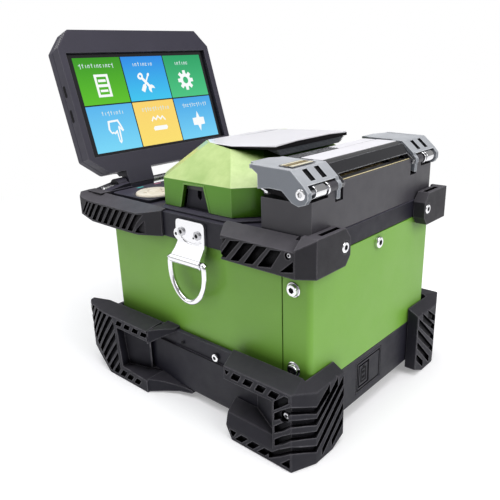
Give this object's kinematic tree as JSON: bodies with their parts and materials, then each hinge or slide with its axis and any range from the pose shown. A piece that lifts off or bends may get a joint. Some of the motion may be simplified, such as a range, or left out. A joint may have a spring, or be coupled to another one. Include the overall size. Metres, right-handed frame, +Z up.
{
  "type": "fibre fusion splicer",
  "caption": "Portable fibre fusion splicer: boxy case with corner guards, tilting display, hinged wind cover over the splice bay, and a rear tube heater with lift-up clamps.",
  "frame": {"origin": "on the ground, under the centre of the whole outline with the display raised; the middle of the sheet case is 21.95 mm behind it", "axes": "+X toward the right side as seen from the display side, +Y toward the rear where the tube heater is, +Z up"},
  "size_m": [0.158, 0.2129, 0.2149],
  "materials": {
    "frame_plastic": "fine-grained charcoal moulding",
    "rubber_guard": "matt charcoal rubber with moulded ribs",
    "case_green": "fine-textured apple green powder coat",
    "socket_plastic": "matt black",
    "battery_plastic": "matt dark grey",
    "chrome": "bright chrome plate",
    "display_plastic": "fine-grained charcoal moulding",
    "screen": "glossy cover glass over a lit colour picture",
    "steel": "fine brushed",
    "cover_green": "semi-gloss lime green paint",
    "cover_panel": "glossy silver white",
    "handle_grey": "satin dark grey",
    "heater_black": "fine-grained charcoal moulding",
    "clamp_slate": "satin blue-grey",
    "heater_gold": "satin gold",
    "aluminium": "satin machined",
    "ceramic": "glazed off-white ceramic",
    "lens_black": "black anodised tube",
    "board": "green solder mask",
    "module_case": "potted dark grey module",
    "key_cream": "satin cream"
  },
  "bodies": {
    "case": {"base_tray": "frame_plastic", "top_frame": "frame_plastic", "deck_plate": "frame_plastic", "bay_rim": "frame_plastic", "display_hinge_base_right": "frame_plastic", "display_hinge_base_left": "frame_plastic", "foot_front_right": "rubber_guard", "foot_front_left": "rubber_guard", "foot_rear_right": "rubber_guard", "foot_rear_left": "rubber_guard", "guard_front_right": "rubber_guard", "guard_front_left": "rubber_guard", "guard_rear_right": "rubber_guard", "guard_rear_left": "rubber_guard", "front_case_shell": "case_green", "rear_case_cover": "case_green", "power_socket": "socket_plastic", "battery_pack": "battery_plastic", "strap_bracket_right": "chrome", "strap_bracket_left": "chrome", "heater_pivot_right": "chrome", "heater_pivot_left": "chrome", "display_hinge_shaft": "steel", "wind_cover_pin": "steel", "electrode_front": "steel", "electrode_rear": "steel", "stage_motor_right": "steel", "stage_motor_left": "steel", "heater_housing": "heater_black", "heater_plate": "heater_gold", "chassis_plate": "aluminium", "vgroove_block": "ceramic", "microscope_front": "lens_black", "microscope_rear": "lens_black", "main_board": "board", "arc_power_module": "module_case"},
    "display": {"display_back": "display_plastic", "display_bezel": "display_plastic", "display_screen": "screen"},
    "wind_cover": {"wind_cover": "cover_green", "wind_cover_panel": "cover_panel", "wind_cover_handle": "handle_grey"},
    "heater_clamp_right": {"heater_clamp_right": "clamp_slate"},
    "heater_clamp_left": {"heater_clamp_left": "clamp_slate"},
    "heater_cover": {"heater_cover": "clamp_slate"},
    "strap_ring_right": {"strap_ring_right": "chrome"},
    "strap_ring_left": {"strap_ring_left": "chrome"},
    "nav_ring": {"nav_ring": "key_cream"},
    "nav_centre_key": {"nav_centre_key": "key_cream"},
    "power_key": {"power_key": "key_cream"},
    "reset_key": {"reset_key": "key_cream"},
    "port_cover": {"port_cover": "frame_plastic"},
    "holder_stage_right": {"holder_stage_right": "aluminium"},
    "holder_stage_left": {"holder_stage_left": "aluminium"},
    "sheath_clamp_right": {"sheath_clamp_right": "steel"},
    "sheath_clamp_left": {"sheath_clamp_left": "steel"},
    "lead_screw_right": {"lead_screw_right": "steel"},
    "lead_screw_left": {"lead_screw_left": "steel"},
    "fibre_clamp_right": {"fibre_clamp_right": "steel"},
    "fibre_clamp_left": {"fibre_clamp_left": "steel"}
  },
  "joints": [
    {"name": "display_tilt", "type": "hinge", "parent": "case", "child": "display", "pos_m": [0, -0.07005, 0.1165], "axis": [1, 0, 0], "range_deg": [-12, 163]},
    {"name": "wind_cover_open", "type": "hinge", "parent": "case", "child": "wind_cover", "pos_m": [0, -0.01905, 0.119], "axis": [1, 0, 0], "range_deg": [0, 90]},
    {"name": "heater_cover_open", "type": "hinge", "parent": "case", "child": "heater_cover", "pos_m": [0, 0.09715, 0.137], "axis": [-1, 0, 0], "range_deg": [0, 95]},
    {"name": "heater_clamp_right_open", "type": "hinge", "parent": "case", "child": "heater_clamp_right", "pos_m": [0.053, 0.09715, 0.137], "axis": [-1, 0, 0], "range_deg": [0, 95]},
    {"name": "heater_clamp_left_open", "type": "hinge", "parent": "case", "child": "heater_clamp_left", "pos_m": [-0.053, 0.09715, 0.137], "axis": [-1, 0, 0], "range_deg": [0, 95]},
    {"name": "strap_ring_right_swing", "type": "hinge", "parent": "case", "child": "strap_ring_right", "pos_m": [0.0686, 0.02195, 0.091], "axis": [0, -1, 0], "range_deg": [-12, 150]},
    {"name": "strap_ring_left_swing", "type": "hinge", "parent": "case", "child": "strap_ring_left", "pos_m": [-0.0686, 0.02195, 0.091], "axis": [0, 1, 0], "range_deg": [-12, 150]},
    {"name": "nav_ring_press", "type": "slide", "parent": "case", "child": "nav_ring", "axis": [0, 0, -1], "range_m": [0, 0.0008], "stiffness_N_per_m": 400},
    {"name": "nav_centre_key_press", "type": "slide", "parent": "case", "child": "nav_centre_key", "axis": [0, 0, -1], "range_m": [0, 0.0008], "stiffness_N_per_m": 400},
    {"name": "power_key_press", "type": "slide", "parent": "case", "child": "power_key", "axis": [0, 0, -1], "range_m": [0, 0.0008], "stiffness_N_per_m": 400},
    {"name": "reset_key_press", "type": "slide", "parent": "case", "child": "reset_key", "axis": [0, 0, -1], "range_m": [0, 0.0008], "stiffness_N_per_m": 400},
    {"name": "port_cover_open", "type": "hinge", "parent": "case", "child": "port_cover", "pos_m": [0.00375, 0.09885, 0.0129], "axis": [-1, 0, 0], "range_deg": [0, 100]},
    {"name": "holder_slide_right", "type": "slide", "parent": "case", "child": "holder_stage_right", "axis": [-1, 0, 0], "range_m": [-0.0015, 0.006]},
    {"name": "lead_screw_right_spin", "type": "hinge", "parent": "case", "child": "lead_screw_right", "pos_m": [0.0337, 0.02195, 0.104], "axis": [-1, 0, 0], "range_deg": [-545, 2165]},
    {"name": "sheath_clamp_right_open", "type": "hinge", "parent": "holder_stage_right", "child": "sheath_clamp_right", "pos_m": [0.0325, 0.03315, 0.1206], "axis": [-1, 0, 0], "range_deg": [0, 95]},
    {"name": "fibre_clamp_right_open", "type": "hinge", "parent": "case", "child": "fibre_clamp_right", "pos_m": [0.01, 0.03595, 0.1205], "axis": [-1, 0, 0], "range_deg": [0, 60]},
    {"name": "holder_slide_left", "type": "slide", "parent": "case", "child": "holder_stage_left", "axis": [1, 0, 0], "range_m": [-0.0015, 0.006]},
    {"name": "lead_screw_left_spin", "type": "hinge", "parent": "case", "child": "lead_screw_left", "pos_m": [-0.0337, 0.02195, 0.104], "axis": [1, 0, 0], "range_deg": [-545, 2165]},
    {"name": "sheath_clamp_left_open", "type": "hinge", "parent": "holder_stage_left", "child": "sheath_clamp_left", "pos_m": [-0.0325, 0.03315, 0.1206], "axis": [-1, 0, 0], "range_deg": [0, 95]},
    {"name": "fibre_clamp_left_open", "type": "hinge", "parent": "case", "child": "fibre_clamp_left", "pos_m": [-0.01, 0.03595, 0.1205], "axis": [-1, 0, 0], "range_deg": [0, 60]}
  ],
  "couplings": [
    {"joint": "lead_screw_right_spin", "follows": "holder_slide_right", "rad_per_m": 6283.2},
    {"joint": "lead_screw_left_spin", "follows": "holder_slide_left", "rad_per_m": 6283.2}
  ]
}
